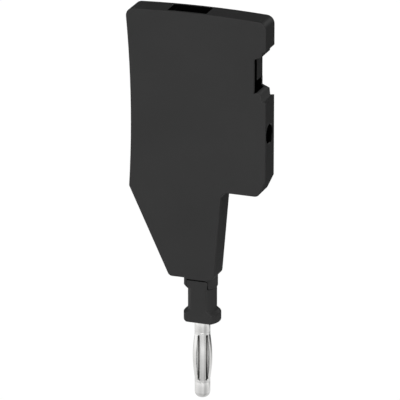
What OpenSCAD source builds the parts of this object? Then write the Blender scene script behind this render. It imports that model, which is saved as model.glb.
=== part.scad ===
// Test adapter: a flat, narrow insulating housing on a sprung 4 mm test plug.
// Origin: on the plug's axis, in the face of the neck flange that the plug's shoulder seats on.
// +Z is up, the plug points down, +X is the socket side and -Y is the plain front face.

/* [Housing outline] */
// Thickness of the whole body, front face to rear face
body_t = 6.1; // [5.8:0.1:8]
// Distance from the plug's axis to the straight right edge
right_x = 16.3; // [14:0.1:24]
// Distance from the plug's axis to the most inward point of the hollow left edge
waist_x = 16.5; // [14:0.1:24]
// Height of that most inward point
waist_z = 48.8; // [44:0.2:56]
// Radius of the hollow left edge
side_r = 272; // [200:1:400]
// Height of the crowned top edge at its highest point
top_z = 75.4; // [72:0.2:90]
// Radius of the crowned top edge
crown_r = 276; // [200:1:400]
// Sideways place of the crown's highest point
crown_x = -0.8; // [-3:0.1:3]
// Radius of the two top corners
top_corner_r = 1.9; // [1.3:0.1:3]
// Height of the level underside of the socket block
shoulder_z = 32.9; // [28:0.2:36]
// Width of the chamfered lower corner of the socket block
block_chamfer_w = 1.8; // [1:0.1:3]
// Height of that chamfered corner
block_chamfer_h = 3.9; // [2:0.1:5]
// Radius that blends the chamfer into the underside
block_corner_r = 1.3; // [0.6:0.1:2]

/* [Leg] */
// Height of the leg's lower end
leg_z = 10.9; // [10:0.1:14]
// Distance from the plug's axis to the leg's lower left corner
foot_left_x = 7.2; // [6:0.1:9]
// Distance from the plug's axis to the leg's lower right corner
foot_right_x = 3.76; // [3.6:0.02:5]
// Lean of the leg's left edge from the vertical, in degrees
leg_lean = 25; // [20:0.5:28]
// Taper of the leg's right edge from the vertical, in degrees
leg_taper = 4.9; // [2:0.1:8]
// Radius of the leg's lower corners
foot_corner_r = 1.2; // [0.6:0.1:1.6]
// Height of the collar's lower face, where the neck's shoulder seats
collar_z = 8.44; // [7.6:0.02:9.4]
// Radius of the collar on its round right side
collar_r = 3.6; // [3.5:0.02:4.4]
// Distance from the plug's axis to the collar's square left side
collar_key_x = 3.56; // [3.2:0.02:4.4]
// Chamfer under the collar's left side
collar_chamfer = 1; // [0.4:0.1:1.4]
// Distance from the plug's axis to the recess's left side
recess_left_x = 2.82; // [2.4:0.02:3]
// Distance from the plug's axis to the recess's right side
recess_right_x = 2.3; // [2.2:0.02:2.6]
// Height of the recess above the collar's lower face
recess_h = 2.1; // [1:0.1:2.3]
// Corner radius at the recess's upper right
recess_corner_r = 0.7; // [0.3:0.1:1]
// Thickness of the neck's two keys, which stand in the recesses
key_t = 0.5; // [0.4:0.05:0.6]
// Gap that shows round each key
key_gap = 0.16; // [0.1:0.02:0.24]

/* [Walls] */
// Wall behind the front face
face_t = 0.55; // [0.5:0.05:0.8]
// Thickness of the rear cover
cover_t = 0.85; // [0.7:0.05:1]
// Width of the housing's edge wall
edge_t = 1.2; // [1:0.05:1.6]
// Width of the part of the edge wall that shows round the rear cover
rim_t = 0.6; // [0.5:0.05:0.8]
// Thickness of the inner walls and ribs
rib_t = 0.8; // [0.6:0.05:1.1]
// Thickness of the floor that the contact bar's foot stands on
floor_t = 1.5; // [1.2:0.1:2]

/* [Side notch] */
// Height of the notch's middle
notch_z = 62.1; // [60:0.1:63]
// Depth of the notch's flat floor below the right edge
notch_depth = 2.82; // [2.2:0.02:3.2]
// Height of the notch's flat floor
notch_floor_h = 7.5; // [7:0.1:8]
// Depth of the lip crest below the right edge
lip_depth = 1.12; // [0.9:0.02:1.3]
// Height of one lip's slope
lip_slope_h = 0.72; // [0.4:0.02:1]
// Height of the step behind one lip
lip_step_h = 1.12; // [0.8:0.02:1.3]
// Depth of the step's foot below the right edge
lip_step_depth = 0.86; // [0.6:0.02:0.88]
// Height of the outer slope of one lip
lip_outer_h = 0.38; // [0.2:0.02:0.6]
// Height left open under the cover's tongue
tongue_gap_h = 2; // [1:0.1:3]
// Width left open beside the cover's tongue, behind the front wall
tongue_gap_w = 1.5; // [0.8:0.1:2]

/* [Label pocket] */
// Length of the label pocket in the top edge
pocket_l = 9.4; // [8:0.1:11]
// Sideways place of the pocket's middle
pocket_x = -2.9; // [-3.5:0.1:-1]
// Depth of the pocket below the crown
pocket_depth = 5.5; // [4.8:0.1:6.5]
// Height of the snap beads on the pocket's ends
bead_r = 0.25; // [0.15:0.05:0.35]
// Depth of the snap beads below the crown
bead_depth = 1.6; // [1.2:0.1:2.2]

/* [Side socket] */
// Height of the socket's axis
socket_z = 47.6; // [46:0.1:50]
// Diameter of the hole in the housing's right edge
mouth_d = 4.5; // [4.3:0.05:4.55]
// Depth of that hole, which keeps the live tube out of reach
mouth_l = 4; // [3:0.1:5]
// Chamfer at the hole's rim
mouth_chamfer = 0.2; // [0.1:0.05:0.3]
// Bore of the socket, for a 4 mm test plug
socket_d = 4; // [3.9:0.05:4.1]
// Wall of the socket tube
socket_wall = 0.3; // [0.2:0.05:0.32]
// Chamfer at the front of the bore
bore_chamfer = 0.15; // [0.05:0.05:0.2]
// Thickness of the socket's closed end
socket_end_t = 1.2; // [0.8:0.1:1.6]
// Diameter of the rivet shank on the closed end
rivet_d = 2; // [1.6:0.1:2.4]
// Diameter of the riveted head
rivet_head_d = 3.2; // [2.8:0.1:3.8]
// Height of the riveted head
rivet_head_h = 0.7; // [0.4:0.1:1]

/* [Neck] */
// Diameter of the neck
neck_d = 6.77; // [6.6:0.01:7]
// Thickness of the neck and its flange across their front and rear flats
neck_flat_t = 5.86; // [5.4:0.02:5.98]
// Diameter of the lower flange
flange_d = 8.75; // [8:0.05:9.6]
// Height of the flange's full edge
flange_h = 2.1; // [1.4:0.1:2.6]
// Round on the flange's lower edge
flange_round = 0.4; // [0.2:0.05:0.6]
// Diameter of the spigot that stands in the leg
spigot_d = 4.6; // [4.2:0.05:4.7]
// Thickness of the spigot across its flats, which stop it turning
spigot_flat_t = 4; // [3.6:0.05:4.1]
// Gap between the spigot's end and the contact bar
spigot_gap = 0.4; // [0.2:0.05:0.8]

/* [Plug] */
// Diameter of the plug's shaft
shaft_d = 3.65; // [3.5:0.01:3.8]
// Length of the plug below the neck flange
plug_l = 19.35; // [18.8:0.05:22]
// Radius of the rounded tip's edge
tip_r = 1.4; // [0.8:0.1:1.6]
// Diameter of the stem inside the neck
stem_d = 2.6; // [2.4:0.05:2.8]
// Diameter of the threaded tail
tail_d = 2; // [1.8:0.1:2]
// Length of the tail above the pin nut
tail_over = 0.6; // [0.3:0.1:1]

/* [Spring cage] */
// Distance from the neck flange to the cage
cage_top = 2.85; // [2.4:0.05:3.4]
// Length of the cage
cage_l = 12.5; // [12:0.1:13]
// Diameter of the cage at its end rings
ring_d = 3.7; // [3.66:0.01:3.9]
// Diameter of the cage at its bulge
bulge_d = 4.62; // [4.3:0.02:4.8]
// Thickness of the cage's sheet
cage_t = 0.2; // [0.16:0.01:0.3]
// Length of each end ring
ring_l = 0.6; // [0.4:0.05:1]
// Number of slots, and so of spring blades
slot_n = 6; // [4:1:8]
// Width of each blade, the same along its whole length
blade_w = 1.24; // [1.1:0.02:1.4]
// How much wider than the slot's end the punched hole there is
slot_relief = 0.1; // [0.08:0.02:0.2]
// Turn of the first slot about the plug's axis, in degrees
slot_phase = 24; // [0:1:60]
// Gap at the seam of the rolled sheet
seam_w = 0.12; // [0.06:0.02:0.2]
// Diameter of the core behind the blades
core_d = 2.7; // [2.4:0.05:2.9]

/* [Contact bar] */
// Thickness of the bar
bar_t = 0.8; // [0.6:0.05:1]
// Width of the bar
bar_w = 4; // [3.4:0.1:4.2]
// Distance from the plug's axis to the bar's upright
bar_x = 4.5; // [4.4:0.1:4.8]
// Length of the bar's foot on the right of the plug's axis
bar_toe = 2.2; // [2:0.1:2.6]
// Inner radius of the bar's bend
bend_r = 0.5; // [0.3:0.1:0.8]
// Height of the bar above the socket's axis
bar_head = 2.4; // [2:0.1:2.6]
// Length of each pair of guide ribs beside the bar
guide_l = 1.6; // [1:0.1:3]
// Height of the lower guide ribs above the floor
guide_low = 10; // [8:0.5:14]
// Distance of the upper guide ribs below the socket's axis
guide_high = 9; // [6:0.5:14]

/* [Fasteners] */
// Width of the pin nut across its flats
nut_af = 4; // [3.8:0.1:4.2]
// Height of the pin nut
nut_h = 1.6; // [1.2:0.1:2]
// Diameter of the flat ring left on each face of the nut
nut_face_d = 3.8; // [3.4:0.1:3.8]
// Slope of the chamfer round that ring, in degrees
nut_chamfer_angle = 30; // [20:1:40]
// Outer diameter of the lock washer
washer_d = 4.2; // [3.8:0.1:4.4]
// Thickness of the lock washer
washer_t = 0.5; // [0.4:0.05:0.6]
// Width of the split in the lock washer
washer_split = 0.24; // [0.1:0.02:0.4]
// Slant of that split, in degrees
washer_slant = 45; // [30:1:60]
// Diameter of the bosses that take the cover's pins
boss_d = 3.4; // [3:0.1:3.8]
// Diameter of the cover's pins
cover_pin_d = 1.6; // [1.4:0.05:1.8]
// Distance from the edge wall's inside to the middle of a boss
boss_inset = 2.2; // [2:0.1:2.6]
// Extra drop of the two upper bosses below the crown
boss_drop = 1.5; // [1:0.1:3]
// Thickness left in front of a cover pin's end
pin_stop = 0.8; // [0.5:0.1:1.5]

/* [Clearances] */
// Clearance round everything that is pushed into something else
fit_gap = 0.05; // [0.03:0.01:0.08]
// Clearance round the screwed and riveted shanks
shank_gap = 0.1; // [0.05:0.01:0.15]

/* [Hidden] */
$fn = 96;
arc_fn = 720;

// Faces of the body and of the space between its walls
front_y = -body_t / 2;
rear_y = body_t / 2;
inner_front_y = front_y + face_t;
inner_rear_y = rear_y - cover_t;
inner_y = (inner_front_y + inner_rear_y) / 2;
inner_w = inner_rear_y - inner_front_y;

// Centres of the two long arcs, as [x, z]
crown_c = [crown_x, top_z - crown_r];
side_c = [-waist_x - side_r, waist_z];

// Each straight edge as its outward normal and its distance from the origin
lean_n = [-cos(leg_lean), -sin(leg_lean)];
lean_d = lean_n * [-foot_left_x, leg_z];
taper_n = [cos(leg_taper), -sin(leg_taper)];
taper_d = taper_n * [foot_right_x, leg_z];
chamfer_n = [block_chamfer_h, -block_chamfer_w] / norm([block_chamfer_h, block_chamfer_w]);
chamfer_d = chamfer_n * [right_x, shoulder_z + block_chamfer_h];

// Side notch, from its floor outwards
floor_x = right_x - notch_depth;
lip_x = right_x - lip_depth;
step_x = right_x - lip_step_depth;
floor_half = notch_floor_h / 2;
lip_half = floor_half + lip_slope_h;
step_half = lip_half + lip_step_h;
mouth_half = step_half + lip_outer_h;
tongue_z = notch_z - floor_half + tongue_gap_h;
tongue_h = notch_floor_h - tongue_gap_h - fit_gap;

// Label pocket
pocket_left = pocket_x - pocket_l / 2;
pocket_right = pocket_x + pocket_l / 2;
pocket_floor_z = top_z - pocket_depth;

// Side socket, along X
socket_od = socket_d + 2 * socket_wall;
socket_front_x = right_x - mouth_l - fit_gap;
socket_end_x = -bar_x;
rail_gap = socket_od / 2 + fit_gap;

// Stack on the plug's axis, from the flange upwards
floor_z = leg_z + floor_t;
bar_top_z = floor_z + bar_t;
nut_z = bar_top_z + washer_t;
tail_z = nut_z + nut_h + tail_over;
stem_z = floor_z - spigot_gap;
taper_h = (flange_d - neck_d) / 2;
key_y = neck_flat_t / 2;

// Spring cage
cage_z = -cage_top - cage_l / 2;
blade_half = cage_l / 2 - ring_l;
bulge_rise = (bulge_d - ring_d) / 2;
bow_steps = 6;
seat_d = ring_d - 2 * cage_t - fit_gap;
half_pitch = 180 / slot_n;
slot_apex = blade_w / 2 / sin(half_pitch);
slot_end_w = 2 * (ring_d / 2 - slot_apex) * tan(half_pitch);

// Cover pins and their bosses, as [x, z]
boss_top_z = top_z - edge_t - boss_inset - boss_drop;
boss_low_z = shoulder_z + edge_t + boss_inset;
boss_left_x = -waist_x + edge_t + boss_inset;
boss_right_x = right_x - edge_t - boss_inset;
boss_leg_z = (floor_z + shoulder_z) / 2;
boss_leg_x = foot_right_x + (boss_leg_z - leg_z) * tan(leg_taper) - edge_t - boss_inset;
boss_places = [[boss_left_x, boss_top_z], [boss_right_x, boss_top_z], [boss_left_x, boss_low_z],
               [boss_right_x, boss_low_z], [boss_leg_x, boss_leg_z]];

// Reach of a block that only has to be large, run-out of a cut, and bite of one form into the next
far = 200;
over = 1;
eps = 0.01;

// Where two circles meet, the upper of the two points
function circles_meet(c1, r1, c2, r2) =
    let (
        d = norm(c2 - c1),
        a = (r1 * r1 - r2 * r2 + d * d) / (2 * d),
        h = sqrt(r1 * r1 - a * a),
        u = (c2 - c1) / d,
        mid = c1 + a * u,
        p = mid + h * [-u[1], u[0]],
        q = mid - h * [-u[1], u[0]]
    )
    p[1] > q[1] ? p : q;

// Where two straight edges meet, each given by its normal and its distance
function lines_meet(n1, d1, n2, d2) =
    let (det = n1[0] * n2[1] - n1[1] * n2[0])
    [(d1 * n2[1] - d2 * n1[1]) / det, (n1[0] * d2 - n2[0] * d1) / det];

function unit(v) = v / norm(v);

// Draws a front-view outline [x, z] as a slab from y0 to y1
module slab(y0, y1) {
    translate([0, y1, 0])
        rotate([90, 0, 0])
            linear_extrude(y1 - y0) children();
}

// Everything on the inner side of a straight edge
module inside_of(n, d) {
    rotate(atan2(n[1], n[0]))
        translate([d - far, -far])
            square([far, 2 * far]);
}

// What lies outside a corner's fillet, whose middle is c and whose edges face n1 and n2
module corner_waste(c, n1, n2, r, inset) {
    reach = r - inset;
    if (reach > eps) {
        difference() {
            polygon([c, c + n1 * (reach + over), c + (n1 + n2) / (1 + n1 * n2) * (reach + over),
                     c + n2 * (reach + over)]);
            translate(c)
                circle(reach);
        }
    }
}

// The notch in the right edge, seen from the front
module notch_outline() {
    translate([0, notch_z])
        polygon([[floor_x, -floor_half], [lip_x, -lip_half], [step_x, -step_half], [right_x, -mouth_half],
                 [right_x + over, -mouth_half], [right_x + over, mouth_half], [right_x, mouth_half],
                 [step_x, step_half], [lip_x, lip_half], [floor_x, floor_half]]);
}

// The body seen from the front, pulled in all round by inset
module body_outline(inset = 0) {
    left_c = circles_meet(crown_c, crown_r - top_corner_r, side_c, side_r + top_corner_r);
    right_cx = right_x - top_corner_r;
    right_c = [right_cx, crown_c[1] + sqrt(pow(crown_r - top_corner_r, 2) - pow(right_cx - crown_x, 2))];
    block_c = lines_meet(chamfer_n, chamfer_d - block_corner_r, [0, -1], -shoulder_z - block_corner_r);
    heel_c = lines_meet(lean_n, lean_d - foot_corner_r, [0, -1], -leg_z - foot_corner_r);
    toe_c = lines_meet(taper_n, taper_d - foot_corner_r, [0, -1], -leg_z - foot_corner_r);
    difference() {
        intersection() {
            union() {
                intersection() {
                    translate(crown_c)
                        circle(crown_r - inset, $fn = arc_fn);
                    inside_of([1, 0], right_x - inset);
                    inside_of([0, -1], -shoulder_z - inset);
                    inside_of(chamfer_n, chamfer_d - inset);
                }
                intersection() {
                    inside_of([0, 1], shoulder_z + inset + over);
                    inside_of([0, -1], -leg_z - inset);
                    inside_of(taper_n, taper_d - inset);
                }
            }
            inside_of(lean_n, lean_d - inset);
        }
        translate(side_c)
            circle(side_r + inset, $fn = arc_fn);
        corner_waste(left_c, unit(left_c - crown_c), unit(side_c - left_c), top_corner_r, inset);
        corner_waste(right_c, unit(right_c - crown_c), [1, 0], top_corner_r, inset);
        corner_waste(block_c, chamfer_n, [0, -1], block_corner_r, inset);
        corner_waste(heel_c, lean_n, [0, -1], foot_corner_r, inset);
        corner_waste(toe_c, taper_n, [0, -1], foot_corner_r, inset);
        if (inset == 0) {
            notch_outline();
        } else {
            translate([floor_x - inset, notch_z - mouth_half - inset])
                square([far, 2 * (mouth_half + inset)]);
        }
    }
}

// A block between the inner faces, from x0 to x1 and z0 to z1, trimmed to the body
module inner_block(x0, x1, z0, z1) {
    slab(inner_front_y - eps, inner_rear_y)
        intersection() {
            body_outline(rim_t);
            translate([x0, z0])
                square([x1 - x0, z1 - z0]);
        }
}

// A round bar along Y at [x, z]
module cross_pin(place, d, y0, y1) {
    translate([place[0], y1, place[1]])
        rotate([90, 0, 0])
            cylinder(d = d, h = y1 - y0);
}

// A block across the whole width, no thicker than t in Y
module flats(t, z0, z1) {
    translate([-far / 2, -t / 2, z0])
        cube([far, t, z1 - z0]);
}

// The short collar under the leg: round on the right, square on the left, with flat faces
module collar() {
    difference() {
        translate([0, 0, collar_z])
            linear_extrude(leg_z - collar_z + foot_corner_r)
                intersection() {
                    union() {
                        circle(collar_r);
                        translate([-collar_key_x, -body_t / 2])
                            square([collar_key_x, body_t]);
                    }
                    translate([-collar_key_x, -body_t / 2])
                        square([collar_key_x + collar_r, body_t]);
                }
        slab(front_y - over, rear_y + over)
            chamfer_waste();
    }
}

// What the chamfer under the collar's left side takes away
module chamfer_waste() {
    polygon([[-collar_key_x - over, collar_z + collar_chamfer + over],
             [-collar_key_x + collar_chamfer + over, collar_z - over],
             [-collar_key_x - over, collar_z - over]]);
}

// Outline of the collar's recess, down to z0, or with a gap of the neck's key that stands in it
module recess_outline(gap, z0) {
    corner = [recess_right_x - recess_corner_r, collar_z + recess_h - recess_corner_r];
    difference() {
        translate([gap - recess_left_x, z0])
            square([recess_left_x + recess_right_x - 2 * gap, collar_z + recess_h - gap - z0]);
        corner_waste(corner, [1, 0], [0, 1], recess_corner_r, gap);
    }
}

// The neck's spigot, or with a gap the keyed bore that takes it
module spigot(gap, z0, z1) {
    intersection() {
        translate([0, 0, z0])
            cylinder(d = spigot_d + 2 * gap, h = z1 - z0);
        flats(spigot_flat_t + 2 * gap, z0, z1);
    }
}

// The rails that hold the socket tube, and the insulating block round its mouth
module socket_seat() {
    for (z = [socket_z + rail_gap, socket_z - rail_gap - rib_t])
        inner_block(0, right_x - rim_t, z, z + rib_t);
    inner_block(right_x - mouth_l, right_x - rim_t, socket_z - rail_gap - rib_t, socket_z + rail_gap + rib_t);
}

// Pairs of ribs that keep the bar's upright in place
module bar_guides() {
    for (z = [floor_z + guide_low, socket_z - guide_high])
        for (x = [-bar_x + fit_gap, -bar_x - bar_t - fit_gap - rib_t])
            inner_block(x, x + rib_t, z, z + guide_l);
}

module pocket_walls() {
    inner_block(pocket_left - rib_t, pocket_right + rib_t, pocket_floor_z - rib_t, top_z);
}

module pocket_hollow() {
    translate([pocket_left, inner_front_y, pocket_floor_z])
        cube([pocket_l, inner_w, pocket_depth + over]);
}

module pocket_beads() {
    for (x = [pocket_left, pocket_right])
        cross_pin([x, top_z - bead_depth], 2 * bead_r, inner_front_y - eps, inner_rear_y);
}

module mouth_hole() {
    translate([right_x - mouth_l - over, inner_y, socket_z])
        rotate([0, 90, 0])
            cylinder(d = mouth_d, h = mouth_l + 2 * over);
    translate([right_x - mouth_chamfer, inner_y, socket_z])
        rotate([0, 90, 0])
            cylinder(d1 = mouth_d, d2 = mouth_d + 2 * (mouth_chamfer + eps), h = mouth_chamfer + eps);
}

// Moulded housing: front face, edge wall, leg and collar in one, open at the rear for the cover
module housing() {
    color("#2b2b2d")
        difference() {
            union() {
                difference() {
                    union() {
                        difference() {
                            slab(front_y, rear_y) body_outline();
                            slab(inner_front_y, rear_y + over) body_outline(edge_t);
                        }
                        collar();
                        inner_block(-far, far, leg_z, floor_z);
                        socket_seat();
                        bar_guides();
                        pocket_walls();
                        for (place = boss_places)
                            cross_pin(place, boss_d, inner_front_y - eps, inner_rear_y);
                    }
                    pocket_hollow();
                }
                pocket_beads();
            }
            slab(inner_rear_y, rear_y + over) body_outline(rim_t);
            for (place = boss_places)
                cross_pin(place, cover_pin_d + 2 * fit_gap, inner_front_y + pin_stop - fit_gap, rear_y);
            mouth_hole();
            spigot(fit_gap, collar_z - over, floor_z + over);
            slab(front_y - over, key_t + fit_gap - key_y) recess_outline(0, collar_z - over);
            slab(key_y - key_t - fit_gap, rear_y + over) recess_outline(0, collar_z - over);
            translate([floor_x - edge_t - over, inner_front_y, notch_z - floor_half])
                cube([edge_t + 2 * over, inner_w, notch_floor_h]);
            translate([floor_x - edge_t - over, inner_front_y, tongue_z - fit_gap])
                cube([edge_t + 2 * over, body_t, tongue_h + 2 * fit_gap]);
        }
}

// Moulded cover: a plate let into the housing's rear, with press-in pins and the notch's tongue
module rear_cover() {
    color("#29292b") {
        slab(inner_rear_y, rear_y)
            body_outline(rim_t + fit_gap);
        translate([floor_x - edge_t, inner_front_y + tongue_gap_w, tongue_z])
            cube([edge_t, rear_y - inner_front_y - tongue_gap_w, tongue_h]);
        for (place = boss_places)
            cross_pin(place, cover_pin_d, inner_front_y + pin_stop, rear_y - eps);
    }
}

// Moulded neck: an insulating sleeve with a flange, keyed into the collar by its spigot
module neck_sleeve() {
    flange_r = flange_d / 2;
    neck_r = neck_d / 2;
    taper_z = flange_h + taper_h;
    color("#2d2d2f")
        difference() {
            union() {
                intersection() {
                    rotate_extrude()
                        difference() {
                            polygon([[0, 0], [flange_r, 0], [flange_r, flange_h], [neck_r, taper_z],
                                     [neck_r, collar_z], [0, collar_z]]);
                            corner_waste([flange_r - flange_round, flange_round], [1, 0], [0, -1],
                                         flange_round, 0);
                        }
                    flats(neck_flat_t, 0, collar_z);
                }
                for (y = [-key_y, key_y - key_t])
                    slab(y, y + key_t)
                        difference() {
                            recess_outline(key_gap, collar_z - eps);
                            chamfer_waste();
                        }
                spigot(0, flange_h, stem_z);
            }
            translate([0, 0, -over])
                cylinder(d = stem_d + 2 * fit_gap, h = stem_z + 2 * over);
        }
}

// Turned plug: threaded tail, stem, shaft, the waist that holds the cage, and the rounded tip
module plug_pin() {
    cage_end = -cage_top - cage_l;
    color("silver")
        rotate_extrude()
            difference() {
                union() {
                    square([tail_d / 2, tail_z]);
                    square([stem_d / 2, stem_z]);
                    translate([0, -cage_top])
                        square([shaft_d / 2, cage_top]);
                    translate([0, cage_end])
                        square([core_d / 2, cage_l]);
                    for (z = [cage_end, -cage_top - ring_l])
                        translate([0, z])
                            square([seat_d / 2, ring_l]);
                    translate([0, -plug_l])
                        square([shaft_d / 2, plug_l + cage_end]);
                }
                corner_waste([shaft_d / 2 - tip_r, tip_r - plug_l], [1, 0], [0, -1], tip_r, 0);
            }
}

// Outer radius of the cage at a place t along its blades, from -1 to 1
function bow(t) = ring_d / 2 + bulge_rise * cos(90 * t);

// Section of the cage's rolled sheet: an end ring, a bowed blade and an end ring
module cage_section() {
    steps = [-bow_steps:bow_steps];
    outer = [for (i = steps) [bow(i / bow_steps), cage_z + blade_half * i / bow_steps]];
    inner = [for (i = steps) [bow(-i / bow_steps) - cage_t, cage_z - blade_half * i / bow_steps]];
    ring_reach = cage_l / 2 - fit_gap;
    polygon(concat([[ring_d / 2 - cage_t, cage_z - ring_reach], [ring_d / 2, cage_z - ring_reach]], outer,
                   [[ring_d / 2, cage_z + ring_reach], [ring_d / 2 - cage_t, cage_z + ring_reach]], inner));
}

// One slot along +X: what two blades of one width leave between them, with a round hole at each end
module slot() {
    slot_half = blade_half - slot_end_w / 2;
    side = (bulge_d - slot_apex) * tan(half_pitch);
    translate([0, 0, cage_z - slot_half])
        linear_extrude(2 * slot_half)
            polygon([[slot_apex, 0], [bulge_d, -side], [bulge_d, side]]);
    for (z = [-slot_half, slot_half])
        translate([core_d / 2, 0, cage_z + z])
            rotate([0, 90, 0])
                cylinder(d = slot_end_w + slot_relief, h = (ring_d + cage_t - core_d) / 2);
}

// Spring cage: sheet bronze, slotted, bowed and rolled round the plug's waist
module spring_cage() {
    color("gainsboro")
        difference() {
            rotate_extrude() cage_section();
            for (i = [0:slot_n - 1])
                rotate(slot_phase + i * 360 / slot_n)
                    slot();
            rotate(slot_phase + 360 / slot_n)
                translate([0, -seam_w / 2, cage_z - cage_l])
                    cube([bulge_d, seam_w, 2 * cage_l]);
        }
}

// Contact bar: a bent brass strip from the plug's tail to the socket's rivet
module contact_bar() {
    bend = [-bar_x + bend_r, bar_top_z + bend_r];
    color("goldenrod")
        difference() {
            slab(-bar_w / 2, bar_w / 2) {
                translate([bend[0], floor_z])
                    square([bar_toe - bend[0], bar_t]);
                translate([-bar_x - bar_t, bend[1]])
                    square([bar_t, socket_z + bar_head - bend[1]]);
                intersection() {
                    translate(bend)
                        difference() {
                            circle(bend_r + bar_t);
                            circle(bend_r);
                        }
                    translate(bend - [far, far])
                        square(far);
                }
            }
            translate([0, 0, floor_z - over])
                cylinder(d = tail_d + 2 * shank_gap, h = bar_t + 2 * over);
            translate([-bar_x - bar_t - over, inner_y, socket_z])
                rotate([0, 90, 0])
                    cylinder(d = rivet_d + 2 * shank_gap, h = bar_t + 2 * over);
        }
}

// Split spring washer between the bar and the nut
module lock_washer() {
    color("darkgray")
        translate([0, 0, bar_top_z])
            difference() {
                cylinder(d = washer_d, h = washer_t);
                translate([0, 0, -over])
                    cylinder(d = tail_d + 2 * shank_gap, h = washer_t + 2 * over);
                rotate([washer_slant, 0, 0])
                    translate([0, -washer_split / 2, -washer_d])
                        cube([washer_d, washer_split, 2 * washer_d]);
            }
}

// Hexagon nut on the plug's tail, chamfered on both faces
module pin_nut() {
    face_r = nut_face_d / 2;
    rise = over * tan(nut_chamfer_angle);
    color("silver")
        translate([0, 0, nut_z])
            difference() {
                intersection() {
                    cylinder(d = nut_af / cos(30), h = nut_h, $fn = 6);
                    rotate_extrude()
                        polygon([[0, 0], [face_r, 0], [face_r + over, rise], [face_r + over, nut_h - rise],
                                 [face_r, nut_h], [0, nut_h]]);
                }
                translate([0, 0, -over])
                    cylinder(d = tail_d + fit_gap, h = nut_h + 2 * over);
            }
}

// Drawn socket tube with a closed end, riveted to the contact bar
module side_socket() {
    tube_l = socket_front_x - socket_end_x;
    cap_r = (pow(rivet_head_d / 2, 2) + pow(rivet_head_h, 2)) / (2 * rivet_head_h);
    color("silver")
        translate([socket_end_x, inner_y, socket_z])
            rotate([0, 90, 0]) {
                difference() {
                    cylinder(d = socket_od, h = tube_l);
                    translate([0, 0, socket_end_t])
                        cylinder(d = socket_d, h = tube_l);
                    translate([0, 0, tube_l - bore_chamfer])
                        cylinder(d1 = socket_d, d2 = socket_d + 2 * (bore_chamfer + eps),
                                 h = bore_chamfer + eps);
                }
                translate([0, 0, -bar_t - eps])
                    cylinder(d = rivet_d, h = bar_t + 2 * eps);
                translate([0, 0, -bar_t])
                    rotate_extrude()
                        intersection() {
                            translate([0, cap_r - rivet_head_h])
                                circle(cap_r);
                            translate([0, -rivet_head_h])
                                square([rivet_head_d / 2, rivet_head_h]);
                        }
            }
}

housing();
rear_cover();
neck_sleeve();
plug_pin();
spring_cage();
contact_bar();
lock_washer();
pin_nut();
side_socket();
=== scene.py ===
import math

import bmesh
import bpy
from mathutils import Matrix, Vector


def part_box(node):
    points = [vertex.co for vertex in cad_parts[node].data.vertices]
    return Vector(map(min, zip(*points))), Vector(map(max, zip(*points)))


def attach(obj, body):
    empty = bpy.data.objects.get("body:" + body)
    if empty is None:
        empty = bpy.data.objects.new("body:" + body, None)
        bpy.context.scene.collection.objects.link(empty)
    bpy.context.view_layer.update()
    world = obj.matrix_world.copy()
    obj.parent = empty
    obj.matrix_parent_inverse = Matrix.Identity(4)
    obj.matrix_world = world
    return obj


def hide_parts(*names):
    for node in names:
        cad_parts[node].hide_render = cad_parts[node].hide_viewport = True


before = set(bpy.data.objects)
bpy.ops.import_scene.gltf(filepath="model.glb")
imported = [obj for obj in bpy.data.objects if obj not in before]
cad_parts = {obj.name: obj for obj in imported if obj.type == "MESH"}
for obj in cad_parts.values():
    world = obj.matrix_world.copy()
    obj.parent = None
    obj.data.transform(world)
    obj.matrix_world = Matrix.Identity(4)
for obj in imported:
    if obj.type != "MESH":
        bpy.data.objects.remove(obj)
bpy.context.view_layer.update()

MM = 0.001

# Housing: the body of the adapter, with its leg and collar, in one injection moulding of black polyamide.
# The mould's faces are finely spark-eroded, which leaves an even matt grain, and its edges are broken by a
# small radius. The label pocket, the notch's slot and the socket hole's mouth come from polished cores, which
# leave them glossier, and they are painted nearly black as painted shade.
body_t = 6.1
front_y = -body_t / 2
rear_y = body_t / 2
front_edge_r = 0.28
rear_edge_r = 0.08
inner_corner = (5.65, 32.9)
inner_corner_r = 1.6
collar_z = 8.44
collar_rim_r = 3.0
collar_edge_r = 0.3
recess_half_x = 2.9
recess_back_y = 2.3
recess_roof_low = 9.8
recess_top = 10.75
recess_lift = 0.15
recess_edge_r = 0.13
lip_crease = (15.44, 56.51)
lip_crease_move = (-0.09, 0, -0.5)
lip_middle = (14.33, 0, 57.99)
slot_end_x = 14.1
slot_sides = (-2.5, 2.2)
slot_cuts = (((slot_end_x, 0, 0), (1, 0, 0)), ((0, slot_sides[0], 0), (0, -1, 0)),
             ((0, slot_sides[1], 0), (0, 1, 0)))
slot_middle = (13.8, -0.15, 58.2)
slot_corner = (13.48, 58.35)
slot_corner_drop = 0.55
slot_draft = 0.01
slot_depth = 0.8
slot_box = ((12.2, -2.8, 57.0), (14.15, 2.21, 60.3))
pocket_box = ((-7.7, -2.6, 69.8), (1.9, 2.3, 75.3))
mouth_axis_z = 47.6
mouth_r = 2.3
mouth_x = (12.2, 16.25)
housing_colour = 0.0285
housing_grain = 0.5
# painted shade: the nearly black colour of the pocket, the notch's slot, the hole's mouth and the cover's
# inner side
hollow_shade_colour = 0.0015
cored_rough = 0.12
grain_rough = (0.46, 0.58)
grain_depth = 0.012
# painted shade: the reach, shut level and open level of two ambient occlusion passes that darken the colour in
# corners, creases and hollows
corner_shades = ((4.0, 0.04, 0.42), (0.3, 0.45, 0.8))
noise_span = (0.3, 0.7)
flow_tones = (0.93, 1.05)
flat_angle = 0.4
smooth_angle = 32
weld_reach = 0.001
cut_reach = 0.01
near = 0.02


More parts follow.
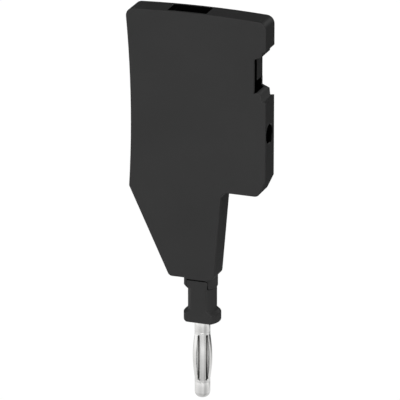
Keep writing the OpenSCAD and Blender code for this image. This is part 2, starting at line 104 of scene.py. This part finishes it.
def link_piece(name, bm, material, slot, *nodes):
    """Makes a finished piece of a mesh and lets it stand for its solids."""
    mesh = bpy.data.meshes.new(name)
    bm.to_mesh(mesh)
    bm.free()
    mesh.shade_smooth()
    mesh.set_sharp_from_angle(angle=math.radians(smooth_angle))
    mesh.materials.append(material)
    piece = bpy.data.objects.new(name, mesh)
    bpy.context.scene.collection.objects.link(piece)
    even_faces = piece.modifiers.new("even_faces", "WEIGHTED_NORMAL")
    even_faces.keep_sharp = True
    even_faces.weight = 80
    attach(piece, "root")
    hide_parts(*nodes)
    return piece


def merged_copy(node):
    """The solid's own mesh with its loose triangles joined and its flat faces made whole."""
    bm = bmesh.new()
    bm.from_mesh(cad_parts[node].data)
    bmesh.ops.remove_doubles(bm, verts=bm.verts, dist=weld_reach * MM)
    bmesh.ops.dissolve_limit(bm, angle_limit=math.radians(flat_angle), use_dissolve_boundaries=False,
                             verts=bm.verts, edges=bm.edges)
    return bm


def break_edges(bm, edges, radius, segments=2):
    """Rounds the given edges by a small radius, in millimetres."""
    bmesh.ops.bevel(bm, geom=edges, offset=radius * MM, offset_type="OFFSET", affect="EDGES",
                    segments=segments, profile=0.5, material=-1, clamp_overlap=False,
                    miter_outer="SHARP", miter_inner="SHARP")


def sharp_edges(bm, keep, limit=20):
    """The edges that stand proud by more than limit degrees and whose ends both pass keep, in millimetres."""
    return [edge for edge in bm.edges if math.degrees(edge.calc_face_angle_signed(0.0)) > limit
            and all(keep(vert.co / MM) for vert in edge.verts)]


def nearest_face(bm, place):
    """The face whose middle is nearest to a place in millimetres."""
    return min(bm.faces, key=lambda face: (face.calc_center_bounds() / MM - Vector(place)).length)


def polish_and_shade(bm, inside):
    """Marks the faces whose middles, in millimetres, pass inside as moulded by a polished core, which makes
    them glossier, and as painted nearly black with painted shade.
    """
    polished_and_shaded = bm.faces.layers.float.new("polished_and_shaded")
    for face in bm.faces:
        face[polished_and_shaded] = 1.0 if inside(face.calc_center_median() / MM) else 0.0


def same(a, b):
    """Whether two lengths in millimetres differ by no more than rounding."""
    return abs(a - b) < near


def on_line(place, line):
    """Whether a place is on the line that runs from front to rear through an x and a z, in millimetres."""
    return math.hypot(place.x - line[0], place.z - line[1]) < near


def in_box(place, box):
    """Whether a place is inside a box that is given by two corners."""
    return all(low < part < high for low, part, high in zip(box[0], place, box[1]))


def by_recess(place):
    """Whether a place is at the collar's recess, in front or behind, or between the two."""
    return abs(place.x) < recess_half_x and place.z < recess_top


def cored_and_shaded(place):
    """Whether a place is in the label pocket, the notch's slot or the mouth of the socket hole, which are
    glossier and painted nearly black as painted shade.
    """
    in_mouth = mouth_x[0] < place.x < mouth_x[1] and math.hypot(place.y, place.z - mouth_axis_z) < mouth_r
    return in_mouth or in_box(place, pocket_box) or in_box(place, slot_box)


def feed(tree, node, inputs):
    """Sets a node's inputs, each to a plain value or to what another node gives out."""
    for name, value in inputs.items():
        if isinstance(value, bpy.types.NodeSocket):
            tree.links.new(value, node.inputs[name])
        else:
            node.inputs[name].default_value = value


def add_node(tree, kind, inputs):
    """Adds a shader node of a kind and feeds its inputs."""
    node = tree.nodes.new("ShaderNode" + kind)
    feed(tree, node, inputs)
    return node


def multiply(tree, a, b):
    """The product of two values."""
    node = tree.nodes.new("ShaderNodeMath")
    node.operation = "MULTIPLY"
    feed(tree, node, {0: a, 1: b})
    return node.outputs["Value"]


def mix_colours(tree, share, a, b):
    """Colour a where the share is 0 and b where it is 1."""
    node = tree.nodes.new("ShaderNodeMix")
    node.data_type = "RGBA"
    feed(tree, node, {"Factor": share, "A": a, "B": b})
    return node.outputs["Result"]


def mix_values(tree, share, a, b):
    """Value a where the share is 0 and b where it is 1."""
    return add_node(tree, "Mix", {"Factor": share, "A": a, "B": b}).outputs["Result"]


def ramp(tree, value, stops):
    """A ramp of colours, each stop a place from 0 to 1 and its red, green and blue."""
    node = add_node(tree, "ValToRGB", {"Fac": value})
    while len(node.color_ramp.elements) < len(stops):
        node.color_ramp.elements.new(1.0)
    for element, (spot, colour) in zip(node.color_ramp.elements, stops):
        element.position = spot
        element.color = (*colour, 1)
    return node.outputs["Color"]


def openness(tree, reach, shut_at, open_at, least=0.0):
    """How open a place is within a reach in millimetres, from least where it is shut in up to 1."""
    node = add_node(tree, "AmbientOcclusion", {"Distance": reach * MM})
    node.samples = 12
    return add_node(tree, "MapRange", {"Value": node.outputs["AO"], "From Min": shut_at, "From Max": open_at,
                                       "To Min": least}).outputs["Result"]


def matt_moulding(name, colour, grain):
    """Black polyamide with a spark-eroded grain, uneven in tone from the melt's flow, darkened by painted
    shade in corners, creases and hollows, and painted nearly black as painted shade where polished.
    """
    material = bpy.data.materials.new(name)
    material.use_nodes = True
    tree = material.node_tree
    place = add_node(tree, "TexCoord", {}).outputs["Object"]
    flow = add_node(tree, "TexNoise", {"Vector": place, "Scale": 55, "Detail": 3})
    tone = ramp(tree, flow.outputs["Fac"],
                [(spot, [colour * part] * 3) for spot, part in zip(noise_span, flow_tones)])
    pits = add_node(tree, "TexNoise", {"Vector": place, "Scale": 5200, "Detail": 4, "Roughness": 0.6})
    # painted shade: ambient occlusion at two reaches darkens the base colour in corners, creases and hollows
    shade = multiply(tree, *(openness(tree, *corner_shade) for corner_shade in corner_shades))
    shaded_tone = mix_colours(tree, shade, (0, 0, 0, 1), tone)
    polished_and_shaded = tree.nodes.new("ShaderNodeAttribute")
    polished_and_shaded.attribute_name = "polished_and_shaded"
    gloss = add_node(tree, "MapRange", {"Value": pits.outputs["Fac"], "To Min": grain_rough[0],
                                        "To Max": grain_rough[1]})
    relief = add_node(tree, "Bump", {"Height": pits.outputs["Fac"], "Strength": grain,
                                     "Distance": grain_depth * MM})
    feed(tree, tree.nodes["Principled BSDF"], {
        # painted shade: the marked faces take the nearly black hollow colour
        "Base Color": mix_colours(tree, polished_and_shaded.outputs["Fac"], shaded_tone, (*[hollow_shade_colour] * 3, 1)),
        "Roughness": mix_values(tree, polished_and_shaded.outputs["Fac"], gloss.outputs["Result"], cored_rough),
        "Normal": relief.outputs["Normal"],
        "Specular IOR Level": 0.12})
    return material


black_polyamide = matt_moulding("black_polyamide", housing_colour, housing_grain)

housing = merged_copy("housing")
corner_edges = [edge for edge in housing.edges
                if all(on_line(vert.co / MM, inner_corner) for vert in edge.verts)]
break_edges(housing, corner_edges, inner_corner_r, segments=8)
for vert in housing.verts:
    place = vert.co / MM
    if by_recess(place) and place.z > recess_roof_low and abs(place.y) > recess_back_y:
        vert.co.z += recess_lift * MM
    if on_line(place, lip_crease):
        vert.co += Vector(lip_crease_move) * MM
slot_face = nearest_face(housing, lip_middle)
for place, way in slot_cuts:
    bmesh.ops.bisect_plane(housing, geom=[slot_face, *slot_face.edges, *slot_face.verts], dist=cut_reach * MM,
                           plane_co=Vector(place) * MM, plane_no=way)
    slot_face = nearest_face(housing, slot_middle)
for vert in housing.verts:
    place = vert.co / MM
    if on_line(place, slot_corner) and place.y < slot_sides[0] + near:
        vert.co.z -= slot_corner_drop * MM
bmesh.ops.inset_individual(housing, faces=[slot_face], thickness=slot_draft * MM, depth=-slot_depth * MM)
break_edges(housing, sharp_edges(housing, lambda p: same(p.y, front_y) and not by_recess(p)), front_edge_r,
            segments=3)
break_edges(housing, sharp_edges(housing, lambda p: same(p.y, rear_y) and not by_recess(p)), rear_edge_r)
break_edges(housing, sharp_edges(housing, lambda p: same(abs(p.y), rear_y) and by_recess(p)), recess_edge_r)
break_edges(housing, sharp_edges(housing, lambda p: same(p.z, collar_z) and p.xy.length > collar_rim_r),
            collar_edge_r)
crown_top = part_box("housing")[1].z
for vert in housing.verts:
    vert.co.z = min(vert.co.z, crown_top)
# painted shade: the pocket, slot and mouth are marked to be painted nearly black
polish_and_shade(housing, cored_and_shaded)
link_piece("moulded_housing", housing, black_polyamide, "moulded_black", "housing")

# Rear cover: a moulded plate let into the housing's rear, of the same black polyamide from another mould.
# Its pins are pressed into the housing's bosses, and its edge is broken, so a fine groove runs round it.
# Its inner side, which shows through the notch, comes from a polished core, which leaves it glossier, and it
# is painted nearly black as painted shade.
cover_edge_r = 0.18
cover_inner_y = 2.25
tongue_x = 13.4
cover_colour = 0.0275
cover_grain = 0.5

cover_polyamide = matt_moulding("cover_polyamide", cover_colour, cover_grain)

cover = merged_copy("rear_cover")
break_edges(cover, sharp_edges(cover, lambda p: same(p.y, rear_y)), cover_edge_r)
# painted shade: the cover's inner side is marked to be painted nearly black
polish_and_shade(cover, lambda p: p.y < cover_inner_y and p.x < tongue_x)
link_piece("let_in_cover", cover, cover_polyamide, "moulded_black", "rear_cover")

# Neck sleeve: the insulating neck and its flange, moulded in black polyamide round the bore for the plug's
# stem. Its flats in front and behind keep the adapter narrow, a key on each flat stands in the collar's
# recess, and its spigot stands in the leg.
neck_edge_r = 0.12
neck_top_edge_r = 0.2
neck_bore_r = 1.5
neck_top = 8.3
neck_blunt = 25
key_low = collar_z + 0.05
key_x = 1.6
key_back_y = 2.4
key_front_y = 2.9
key_shift = 0.14
key_edge_r = 0.16
neck_colour = 0.0285
neck_grain = 0.4

neck_polyamide = matt_moulding("neck_polyamide", neck_colour, neck_grain)

neck = merged_copy("neck_sleeve")
for vert in neck.verts:
    place = vert.co / MM
    if place.z > key_low and abs(place.y) > key_back_y and abs(place.x) > key_x:
        vert.co.x += math.copysign(key_shift, place.x) * MM
for at_edge, radius in (
        (lambda p: p.z > collar_z - near and abs(p.y) > key_front_y and p.x > key_x, key_edge_r),
        (lambda p: p.z < neck_top and p.xy.length > neck_bore_r, neck_edge_r),
        (lambda p: same(p.z, collar_z) and p.xy.length > collar_rim_r, neck_top_edge_r)):
    break_edges(neck, sharp_edges(neck, at_edge, neck_blunt), radius)
link_piece("neck_and_flange", neck, neck_polyamide, "moulded_black", "neck_sleeve")

# Plug: turned from brass bar and nickel plated. The shaft has a rounded tip and a waist that the cage is
# rolled round, the stem runs through the neck, and the tail takes the nut.
tip_z, tail_z = (corner.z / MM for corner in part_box("plug_pin"))
shaft_r = 1.825
tip_r = 1.4
waist_top = -2.85
waist_low = -15.35
ring_l = 0.6
seat_r = 1.625
core_r = 1.35
stem_r = 1.3
stem_top = 12.0
tail_r = 1.0
turned_edge_r = 0.02
turn_steps = 96


def worked_metal(name, colour, rough, lines, line_depth):
    """Metal with fine working marks, which lines spaces out along x, y and z, and darkened in deep gaps by
    painted shade.
    """
    material = bpy.data.materials.new(name)
    material.use_nodes = True
    tree = material.node_tree
    place = add_node(tree, "TexCoord", {}).outputs["Object"]
    stretch = add_node(tree, "Mapping", {"Vector": place, "Scale": lines}).outputs["Vector"]
    marks = add_node(tree, "TexNoise", {"Vector": stretch, "Scale": 1, "Detail": 3, "Roughness": 0.6})
    relief = add_node(tree, "Bump", {"Height": marks.outputs["Fac"], "Strength": 0.5,
                                     "Distance": line_depth * MM})
    haze = add_node(tree, "TexNoise", {"Vector": place, "Scale": 240, "Detail": 4}).outputs["Fac"]
    tone = ramp(tree, haze, ((noise_span[0], [part * 0.94 for part in colour]), (noise_span[1], colour)))
    gloss = add_node(tree, "MapRange", {"Value": haze, "From Min": noise_span[0], "From Max": noise_span[1],
                                        "To Min": rough * 0.75, "To Max": rough * 1.25})
    # painted shade: ambient occlusion darkens the base colour down to 0.3 in deep gaps
    gap_shade = openness(tree, reach=1.5, shut_at=0.1, open_at=0.62, least=0.3)
    feed(tree, tree.nodes["Principled BSDF"], {
        "Base Color": mix_colours(tree, gap_shade, (0, 0, 0, 1), tone),
        "Roughness": gloss.outputs["Result"],
        "Normal": relief.outputs["Normal"],
        "Metallic": 1})
    return material


turned_nickel = worked_metal("turned_nickel", colour=(0.80, 0.795, 0.785), rough=0.16, lines=(60, 60, 9000),
                             line_depth=0.0015)

profile = [(0, tip_z), (shaft_r - tip_r, tip_z), (shaft_r, tip_z), (shaft_r, tip_z + tip_r),
           (shaft_r, waist_low), (seat_r, waist_low), (seat_r, waist_low + ring_l),
           (core_r, waist_low + ring_l), (core_r, waist_top - ring_l),
           (seat_r, waist_top - ring_l), (seat_r, waist_top), (shaft_r, waist_top),
           (shaft_r, 0), (stem_r, 0), (stem_r, stem_top), (tail_r, stem_top), (tail_r, tail_z), (0, tail_z)]
rounded = (([(shaft_r, tip_z)], tip_r - weld_reach, 10),
           ([(shaft_r, waist_low), (shaft_r, waist_top), (shaft_r, 0)], turned_edge_r, 3))
pin = bmesh.new()
points = {spot: pin.verts.new((spot[0] * MM, 0, spot[1] * MM)) for spot in profile}
for pair in zip(profile, profile[1:]):
    pin.edges.new([points[spot] for spot in pair])
for spots, radius, segments in rounded:
    bmesh.ops.bevel(pin, geom=[points[spot] for spot in spots], offset=radius * MM, offset_type="OFFSET",
                    affect="VERTICES", segments=segments, profile=0.5, material=-1, clamp_overlap=False)
bmesh.ops.spin(pin, geom=pin.verts[:] + pin.edges[:], cent=(0, 0, 0), axis=(0, 0, 1), dvec=(0, 0, 0),
               angle=math.tau, steps=turn_steps, use_merge=True, use_duplicate=False)
bmesh.ops.remove_doubles(pin, verts=pin.verts, dist=weld_reach * MM)
bmesh.ops.recalc_face_normals(pin, faces=pin.faces)
link_piece("turned_plug", pin, turned_nickel, "nickel_plate", "plug_pin")

# Spring cage: sheet bronze, slotted, bowed and rolled round the plug's waist, then nickel plated. Each of its
# blades keeps one width from end to end, and the slots end in round punched holes. The seam is behind.
cage_top = -2.852
cage_low = -15.348
cage_half = (cage_top - cage_low) / 2
cage_mid = (cage_top + cage_low) / 2
cage_ring_r = 1.83
cage_bulge_r = 2.31
cage_t = 0.2
cage_edge_r = 0.02
cage_blunt = 50
blade_half = 5.65
blade_w = 1.24
blade_n = 6
first_blade = 54
seam_turn = math.radians(first_blade + 180 / blade_n)
seam_half = 0.06
seam_reach = 0.001
hole_r = 0.402
hole_z = 5.298
hole_turns = (0, 12, 25, 40, 55, 70, 85, 100, 112)
ring_rows = (0, 0.1, 0.3)
bow_rows = 14
columns = 10


def bowed_r(z):
    """Outer radius of the cage at a height above or below its middle."""
    bow = math.cos(math.radians(90 * min(1, abs(z) / blade_half)))
    return cage_ring_r + (cage_bulge_r - cage_ring_r) * bow


def blade_spread(z):
    """Half of the turn that one blade takes up at that height, which is its whole share in the end rings."""
    share = math.pi / blade_n
    past_hole = abs(z) - hole_z
    if past_hole >= hole_r:
        return share
    hole = math.asin(math.sqrt(hole_r ** 2 - past_hole ** 2) / bowed_r(z)) if abs(past_hole) < hole_r else 0
    if past_hole > 0:
        return share - hole
    return min(math.asin(blade_w / 2 / bowed_r(z)), share - hole)


hole_rows = [hole_z + hole_r * math.cos(math.radians(turn)) for turn in hole_turns]
upper_rows = [*(cage_half - inwards for inwards in ring_rows), *hole_rows,
              *(hole_rows[-1] * step / bow_rows for step in range(bow_rows))]
rows = sorted({round(side * z, 6) for z in upper_rows for side in (1, -1)})

sheet = bmesh.new()
bmesh.ops.create_grid(sheet, x_segments=columns, y_segments=len(rows) - 1, size=1)
for vert in sheet.verts:
    z = rows[round((vert.co.y + 1) / 2 * (len(rows) - 1))]
    turn = math.radians(first_blade) + vert.co.x * blade_spread(z)
    vert.co = Vector((bowed_r(z) * math.cos(turn), bowed_r(z) * math.sin(turn), cage_mid + z)) * MM
blade = sheet.verts[:] + sheet.edges[:] + sheet.faces[:]
for step in range(1, blade_n):
    copy = bmesh.ops.duplicate(sheet, geom=blade)["geom"]
    copied_verts = [item for item in copy if isinstance(item, bmesh.types.BMVert)]
    bmesh.ops.rotate(sheet, verts=copied_verts, cent=(0, 0, 0),
                     matrix=Matrix.Rotation(math.tau * step / blade_n, 3, "Z"))
for vert in sheet.verts:
    if abs(math.atan2(vert.co.y, vert.co.x) - seam_turn) < seam_reach:
        middle = vert.link_faces[0].calc_center_median()
        side = -1 if math.atan2(middle.y, middle.x) < seam_turn else 1
        vert.co.rotate(Matrix.Rotation(side * seam_half / cage_ring_r, 3, "Z"))
bmesh.ops.remove_doubles(sheet, verts=sheet.verts, dist=weld_reach * MM)
bmesh.ops.recalc_face_normals(sheet, faces=sheet.faces)
if sum(face.normal.dot(face.calc_center_median() * Vector((1, 1, 0))) for face in sheet.faces) < 0:
    bmesh.ops.reverse_faces(sheet, faces=sheet.faces)
bmesh.ops.solidify(sheet, geom=sheet.faces[:], thickness=cage_t * MM)
bmesh.ops.recalc_face_normals(sheet, faces=sheet.faces)
break_edges(sheet, sharp_edges(sheet, lambda p: True, cage_blunt), cage_edge_r)
rolled_nickel = worked_metal("rolled_nickel", colour=(0.80, 0.795, 0.785), rough=0.2, lines=(5000, 5000, 260),
                             line_depth=0.002)
link_piece("rolled_cage", sheet, rolled_nickel, "nickel_plate", "spring_cage")

# Inside: the drawn socket tube, the bent brass contact bar, and the zinc-plated lock washer and nut on the
# plug's tail. They keep the solids' own shapes, and only the tube shows, through the hole in the right edge.
drawn_nickel = worked_metal("drawn_nickel", colour=(0.70, 0.695, 0.685), rough=0.28, lines=(300, 5000, 5000),
                            line_depth=0.002)
rolled_brass = worked_metal("rolled_brass", colour=(0.72, 0.52, 0.24), rough=0.32, lines=(5000, 5000, 300),
                            line_depth=0.003)
zinc_plate = worked_metal("zinc_plate", colour=(0.58, 0.59, 0.60), rough=0.38, lines=(1500, 1500, 1500),
                          line_depth=0.003)
for node, metal in (("side_socket", drawn_nickel), ("contact_bar", rolled_brass), ("lock_washer", zinc_plate),
                    ("pin_nut", zinc_plate)):
    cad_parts[node].material_slots[0].material = metal

# Floor and light: a white paper sweep below the adapter, a large soft lamp by the camera, two more behind the
# adapter and an even white room. The camera sees plain white all round. What the metal mirrors is bright in
# front and dark behind, and on the paper it has cards of grey by angle and rings of grey by distance.
floor_z = -45
floor_half = 3000
floor_fade = (0.05, 0.13)
paper_grey = 0.82
paper_glow = 1.04
glow_share = 0.93
room_light = 0.42
room_fade = (-0.3, 0.4)
gloss_front = 1.3
gloss_behind = 0.06
cards = ((-180, 0.74), (-150, 0.74), (-117, 0.62), (-87, 0.60), (-68, 0.67), (-56, 0.67), (-43, 0.48),
         (-27, 0.46), (-11, 0.52), (6, 0.66), (40, 0.72), (180, 0.74))
rings = ((45, 0.75), (60, 0.95), (80, 0.9), (100, 1.0), (130, 1.0), (150, 1.25), (180, 1.4), (230, 1.1),
         (300, 0.85), (400, 0.85))
ring_reach = rings[-1][0]


def gloss_fade(tree, place, span):
    """How white the room looks in a reflection: bright in front, fading behind over a span of Y."""
    split = add_node(tree, "SeparateXYZ", {"Vector": place})
    fade = add_node(tree, "MapRange", {"Value": split.outputs["Y"], "From Min": span[0], "From Max": span[1],
                                       "To Min": gloss_front, "To Max": gloss_behind})
    fade.interpolation_type = "SMOOTHSTEP"
    return fade.outputs["Result"]


def white_sweep():
    """Paper that the camera sees as plain white and the metal as the cards and rings."""
    material = bpy.data.materials.new("white_sweep")
    material.use_nodes = True
    tree = material.node_tree
    tree.nodes.remove(tree.nodes["Principled BSDF"])
    place = add_node(tree, "TexCoord", {}).outputs["Object"]
    split = add_node(tree, "SeparateXYZ", {"Vector": place})
    way = add_node(tree, "Math", {0: split.outputs["Y"], 1: split.outputs["X"]})
    way.operation = "ARCTAN2"
    turn = add_node(tree, "MapRange", {"Value": way.outputs["Value"], "From Min": -math.pi,
                                       "From Max": math.pi})
    around = ramp(tree, turn.outputs["Result"], [((angle + 180) / 360, [grey] * 3) for angle, grey in cards])
    flat = add_node(tree, "VectorMath", {0: place, 1: (1, 1, 0)})
    flat.operation = "MULTIPLY"
    reach = add_node(tree, "VectorMath", {0: flat.outputs["Vector"]})
    reach.operation = "LENGTH"
    per_reach = multiply(tree, reach.outputs["Value"], 1 / (ring_reach * MM))
    outwards = ramp(tree, per_reach, [(distance / ring_reach, [grey] * 3) for distance, grey in rings])
    mirrored = multiply(tree, gloss_fade(tree, place, floor_fade), multiply(tree, around, outwards))
    rays = add_node(tree, "LightPath", {})
    paper = add_node(tree, "BsdfDiffuse", {"Color": (*[paper_grey] * 3, 1)})
    glow = add_node(tree, "Emission", {"Color": (1, 1, 1, 1), "Strength": paper_glow})
    mirror = add_node(tree, "Emission", {"Color": (1, 1, 1, 1), "Strength": mirrored})
    plain = add_node(tree, "MixShader", {"Fac": multiply(tree, rays.outputs["Is Camera Ray"], glow_share),
                                         1: paper.outputs["BSDF"], 2: glow.outputs["Emission"]})
    whole = add_node(tree, "MixShader", {"Fac": rays.outputs["Is Glossy Ray"],
                                         1: plain.outputs["Shader"], 2: mirror.outputs["Emission"]})
    feed(tree, tree.nodes["Material Output"], {"Surface": whole.outputs["Shader"]})
    return material


def soft_lamp(name, place, aim, side, power):
    """A square soft lamp at a place, turned to its aim, with its side in millimetres."""
    light = bpy.data.lights.new(name, "AREA")
    light.shape = "SQUARE"
    light.size = side * MM
    light.energy = power
    lamp = bpy.data.objects.new(name, light)
    lamp.location = Vector(place) * MM
    lamp.rotation_euler = (Vector(aim) - Vector(place)).to_track_quat("-Z", "Y").to_euler()
    bpy.context.scene.collection.objects.link(lamp)
    return lamp


sweep = bmesh.new()
bmesh.ops.create_grid(sweep, x_segments=1, y_segments=1, size=floor_half * MM,
                      matrix=Matrix.Translation((0, 0, floor_z * MM)))
sweep_mesh = bpy.data.meshes.new("sweep")
sweep.to_mesh(sweep_mesh)
sweep.free()
sweep_mesh.materials.append(white_sweep())
sweep_object = bpy.data.objects.new("sweep", sweep_mesh)
bpy.context.scene.collection.objects.link(sweep_object)

soft_lamp("key_lamp", place=(180, -800, 300), aim=(0, 0, 30), side=420, power=4.2)
soft_lamp("rim_lamp", place=(305, 794, 330), aim=(0, 0, 40), side=260, power=0.7)
fill_lamp = soft_lamp("fill_lamp", place=(-420, 760, 60), aim=(0, 0, 30), side=420, power=5.0)
fill_lamp.visible_glossy = False

world = bpy.data.worlds.new("white_room")
bpy.context.scene.world = world
world.use_nodes = True
room = world.node_tree
way = add_node(room, "TexCoord", {}).outputs["Generated"]
rays = add_node(room, "LightPath", {})
not_seen = mix_values(room, rays.outputs["Is Glossy Ray"], room_light, gloss_fade(room, way, room_fade))
feed(room, room.nodes["Background"], {
    "Color": (1, 1, 1, 1), "Strength": mix_values(room, rays.outputs["Is Camera Ray"], not_seen, 1)})

# Camera: a long lens in front, 20 degrees to the right and 20 degrees up, as it was fitted to the outline in
# the photograph. The colours are shown as they are.
camera_place = (351.9, -968.5, 404.5)
camera_way = (-0.3214, 0.8830, -0.3420)
camera_lens = 428.4
camera_sensor_w = 36
camera_far = 10

camera_data = bpy.data.cameras.new("camera")
camera_data.lens = camera_lens
camera_data.sensor_width = camera_sensor_w
camera_data.clip_end = camera_far
camera = bpy.data.objects.new("camera", camera_data)
camera.location = Vector(camera_place) * MM
camera.rotation_euler = Vector(camera_way).to_track_quat("-Z", "Y").to_euler()
bpy.context.scene.collection.objects.link(camera)
bpy.context.scene.camera = camera
bpy.context.scene.view_settings.view_transform = "Standard"
